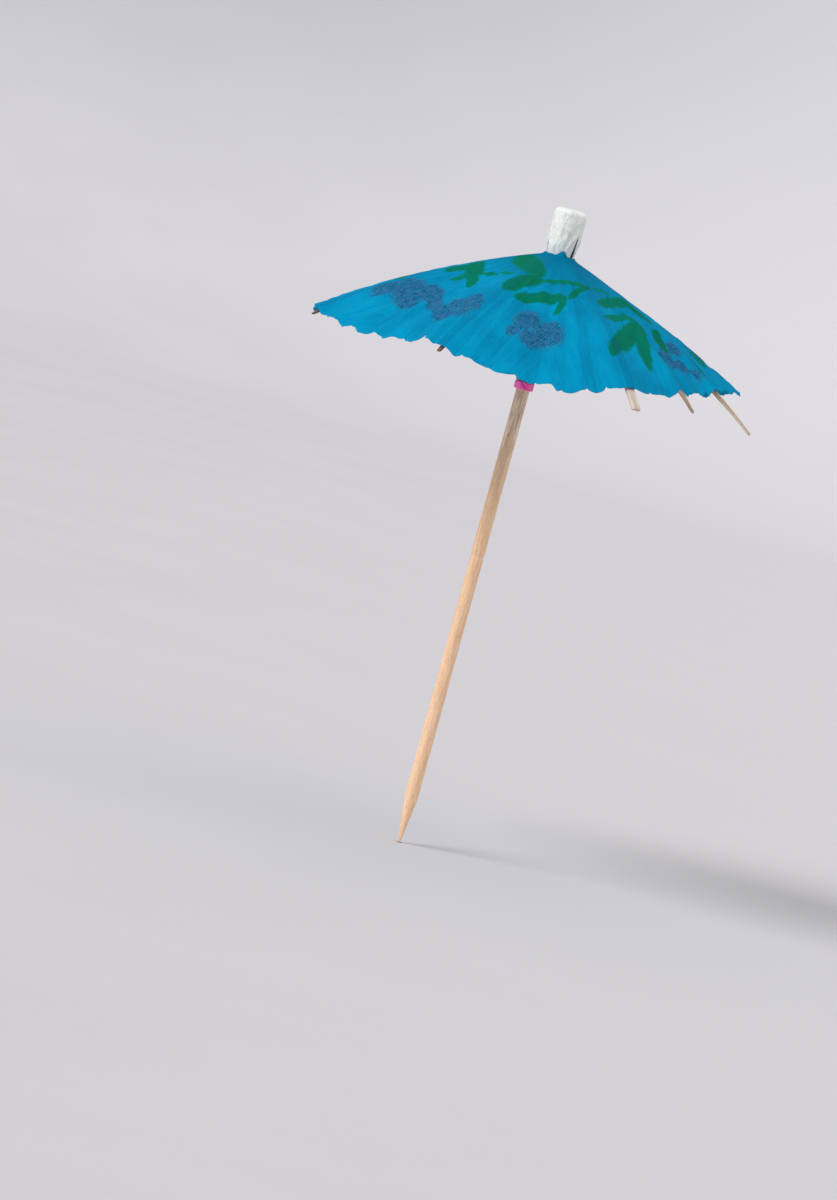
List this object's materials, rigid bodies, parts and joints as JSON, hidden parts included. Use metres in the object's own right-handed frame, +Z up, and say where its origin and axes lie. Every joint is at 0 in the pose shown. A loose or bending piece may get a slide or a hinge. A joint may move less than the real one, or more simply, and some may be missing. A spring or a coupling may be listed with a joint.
{
  "type": "cocktail umbrella pick",
  "caption": "Small paper umbrella on a pointed wooden pick: a scalloped canopy on hinged ribs that folds down along the pick when its runner slides.",
  "frame": {"origin": "on the pick's axis, at the shoulder where the round wood ends and the sharpened point begins", "axes": "+Z up along the pick towards the cap; +X and +Y level, with one rib about 10 degrees from +X"},
  "size_m": [0.0727, 0.0716, 0.1046],
  "materials": {
    "pick_wood": "bare pale wood with fine grain",
    "cap_paper": "matt wrinkled white paper",
    "canopy_paper": "matt blue tissue paper with a printed leaf and blossom pattern",
    "hub_wood": "bare turned wood",
    "rib_card": "bare split wood",
    "thread": "twisted cotton thread",
    "sleeve_paper": "rolled grey-brown waste paper",
    "ring_plastic": "soft glossy pink plastic"
  },
  "bodies": {
    "stick": {"pick": "pick_wood", "cap": "cap_paper", "canopy_collar": "canopy_paper", "crown_hub": "hub_wood", "crown_thread": "thread"},
    "runner": {"runner_hub": "hub_wood", "runner_thread": "thread", "paper_sleeve": "sleeve_paper"},
    "ring": {"stop_ring": "ring_plastic"},
    "rib_1": {"rib_1": "rib_card", "canopy_gore_1": "canopy_paper", "strut_pin_1": "thread"},
    "strut_1": {"strut_1": "rib_card"},
    "rib_2": {"rib_2": "rib_card", "canopy_gore_2": "canopy_paper", "strut_pin_2": "thread"},
    "strut_2": {"strut_2": "rib_card"},
    "rib_3": {"rib_3": "rib_card", "canopy_gore_3": "canopy_paper", "strut_pin_3": "thread"},
    "strut_3": {"strut_3": "rib_card"},
    "rib_4": {"rib_4": "rib_card", "canopy_gore_4": "canopy_paper", "strut_pin_4": "thread"},
    "strut_4": {"strut_4": "rib_card"},
    "rib_5": {"rib_5": "rib_card", "canopy_gore_5": "canopy_paper", "strut_pin_5": "thread"},
    "strut_5": {"strut_5": "rib_card"},
    "rib_6": {"rib_6": "rib_card", "canopy_gore_6": "canopy_paper", "strut_pin_6": "thread"},
    "strut_6": {"strut_6": "rib_card"},
    "rib_7": {"rib_7": "rib_card", "canopy_gore_7": "canopy_paper", "strut_pin_7": "thread"},
    "strut_7": {"strut_7": "rib_card"}
  },
  "joints": [
    {"name": "runner_slide", "type": "slide", "parent": "stick", "child": "runner", "axis": [0, 0, -1], "range_m": [0, 0.01933]},
    {"name": "ring_slide", "type": "slide", "parent": "runner", "child": "ring", "axis": [0, 0, -1], "range_m": [0, 0.006]},
    {"name": "rib_1_hinge", "type": "hinge", "parent": "stick", "child": "rib_1", "pos_m": [0.00197, -0.00035, 0.0892], "axis": [0.1771, 0.9842, 0], "range_deg": [0, 59.28], "deforming": ["canopy_gore_1"]},
    {"name": "strut_1_hinge", "type": "hinge", "parent": "rib_1", "child": "strut_1", "pos_m": [0.01649, -0.00297, 0.08302], "axis": [0.1771, 0.9842, 0], "range_deg": [-118.56, 0]},
    {"name": "rib_2_hinge", "type": "hinge", "parent": "stick", "child": "rib_2", "pos_m": [0.0015, 0.00132, 0.0892], "axis": [-0.6591, 0.7521, 0], "range_deg": [0, 59.28], "deforming": ["canopy_gore_2"]},
    {"name": "strut_2_hinge", "type": "hinge", "parent": "rib_2", "child": "strut_2", "pos_m": [0.0126, 0.01104, 0.08302], "axis": [-0.6591, 0.7521, 0], "range_deg": [-118.56, 0]},
    {"name": "rib_3_hinge", "type": "hinge", "parent": "stick", "child": "rib_3", "pos_m": [-0.00009, 0.002, 0.0892], "axis": [-0.9989, -0.0464, 0], "range_deg": [0, 59.28], "deforming": ["canopy_gore_3"]},
    {"name": "strut_3_hinge", "type": "hinge", "parent": "rib_3", "child": "strut_3", "pos_m": [-0.00078, 0.01674, 0.08302], "axis": [-0.9989, -0.0464, 0], "range_deg": [-118.56, 0]},
    {"name": "rib_4_hinge", "type": "hinge", "parent": "stick", "child": "rib_4", "pos_m": [-0.00162, 0.00117, 0.0892], "axis": [-0.5866, -0.8099, 0], "range_deg": [0, 59.28], "deforming": ["canopy_gore_4"]},
    {"name": "strut_4_hinge", "type": "hinge", "parent": "rib_4", "child": "strut_4", "pos_m": [-0.01357, 0.00983, 0.08302], "axis": [-0.5866, -0.8099, 0], "range_deg": [-118.56, 0]},
    {"name": "rib_5_hinge", "type": "hinge", "parent": "stick", "child": "rib_5", "pos_m": [-0.00193, -0.00053, 0.0892], "axis": [0.2675, -0.9636, 0], "range_deg": [0, 59.28], "deforming": ["canopy_gore_5"]},
    {"name": "strut_5_hinge", "type": "hinge", "parent": "rib_5", "child": "strut_5", "pos_m": [-0.01615, -0.00448, 0.08302], "axis": [0.2675, -0.9636, 0], "range_deg": [-118.56, 0]},
    {"name": "rib_6_hinge", "type": "hinge", "parent": "stick", "child": "rib_6", "pos_m": [-0.00078, -0.00184, 0.0892], "axis": [0.9201, -0.3916, 0], "range_deg": [0, 59.28], "deforming": ["canopy_gore_6"]},
    {"name": "strut_6_hinge", "type": "hinge", "parent": "rib_6", "child": "strut_6", "pos_m": [-0.00656, -0.01542, 0.08302], "axis": [0.9201, -0.3916, 0], "range_deg": [-118.56, 0]},
    {"name": "rib_7_hinge", "type": "hinge", "parent": "stick", "child": "rib_7", "pos_m": [0.00095, -0.00176, 0.0892], "axis": [0.8799, 0.4752, 0], "range_deg": [0, 59.28], "deforming": ["canopy_gore_7"]},
    {"name": "strut_7_hinge", "type": "hinge", "parent": "rib_7", "child": "strut_7", "pos_m": [0.00796, -0.01475, 0.08302], "axis": [0.8799, 0.4752, 0], "range_deg": [-118.56, 0]}
  ],
  "couplings": [
    {"joint": "rib_1_hinge", "follows": "runner_slide", "rad_per_m": 53.527},
    {"joint": "strut_1_hinge", "follows": "runner_slide", "rad_per_m": -107.05},
    {"joint": "rib_2_hinge", "follows": "runner_slide", "rad_per_m": 53.527},
    {"joint": "strut_2_hinge", "follows": "runner_slide", "rad_per_m": -107.05},
    {"joint": "rib_3_hinge", "follows": "runner_slide", "rad_per_m": 53.527},
    {"joint": "strut_3_hinge", "follows": "runner_slide", "rad_per_m": -107.05},
    {"joint": "rib_4_hinge", "follows": "runner_slide", "rad_per_m": 53.527},
    {"joint": "strut_4_hinge", "follows": "runner_slide", "rad_per_m": -107.05},
    {"joint": "rib_5_hinge", "follows": "runner_slide", "rad_per_m": 53.527},
    {"joint": "strut_5_hinge", "follows": "runner_slide", "rad_per_m": -107.05},
    {"joint": "rib_6_hinge", "follows": "runner_slide", "rad_per_m": 53.527},
    {"joint": "strut_6_hinge", "follows": "runner_slide", "rad_per_m": -107.05},
    {"joint": "rib_7_hinge", "follows": "runner_slide", "rad_per_m": 53.527},
    {"joint": "strut_7_hinge", "follows": "runner_slide", "rad_per_m": -107.05}
  ]
}
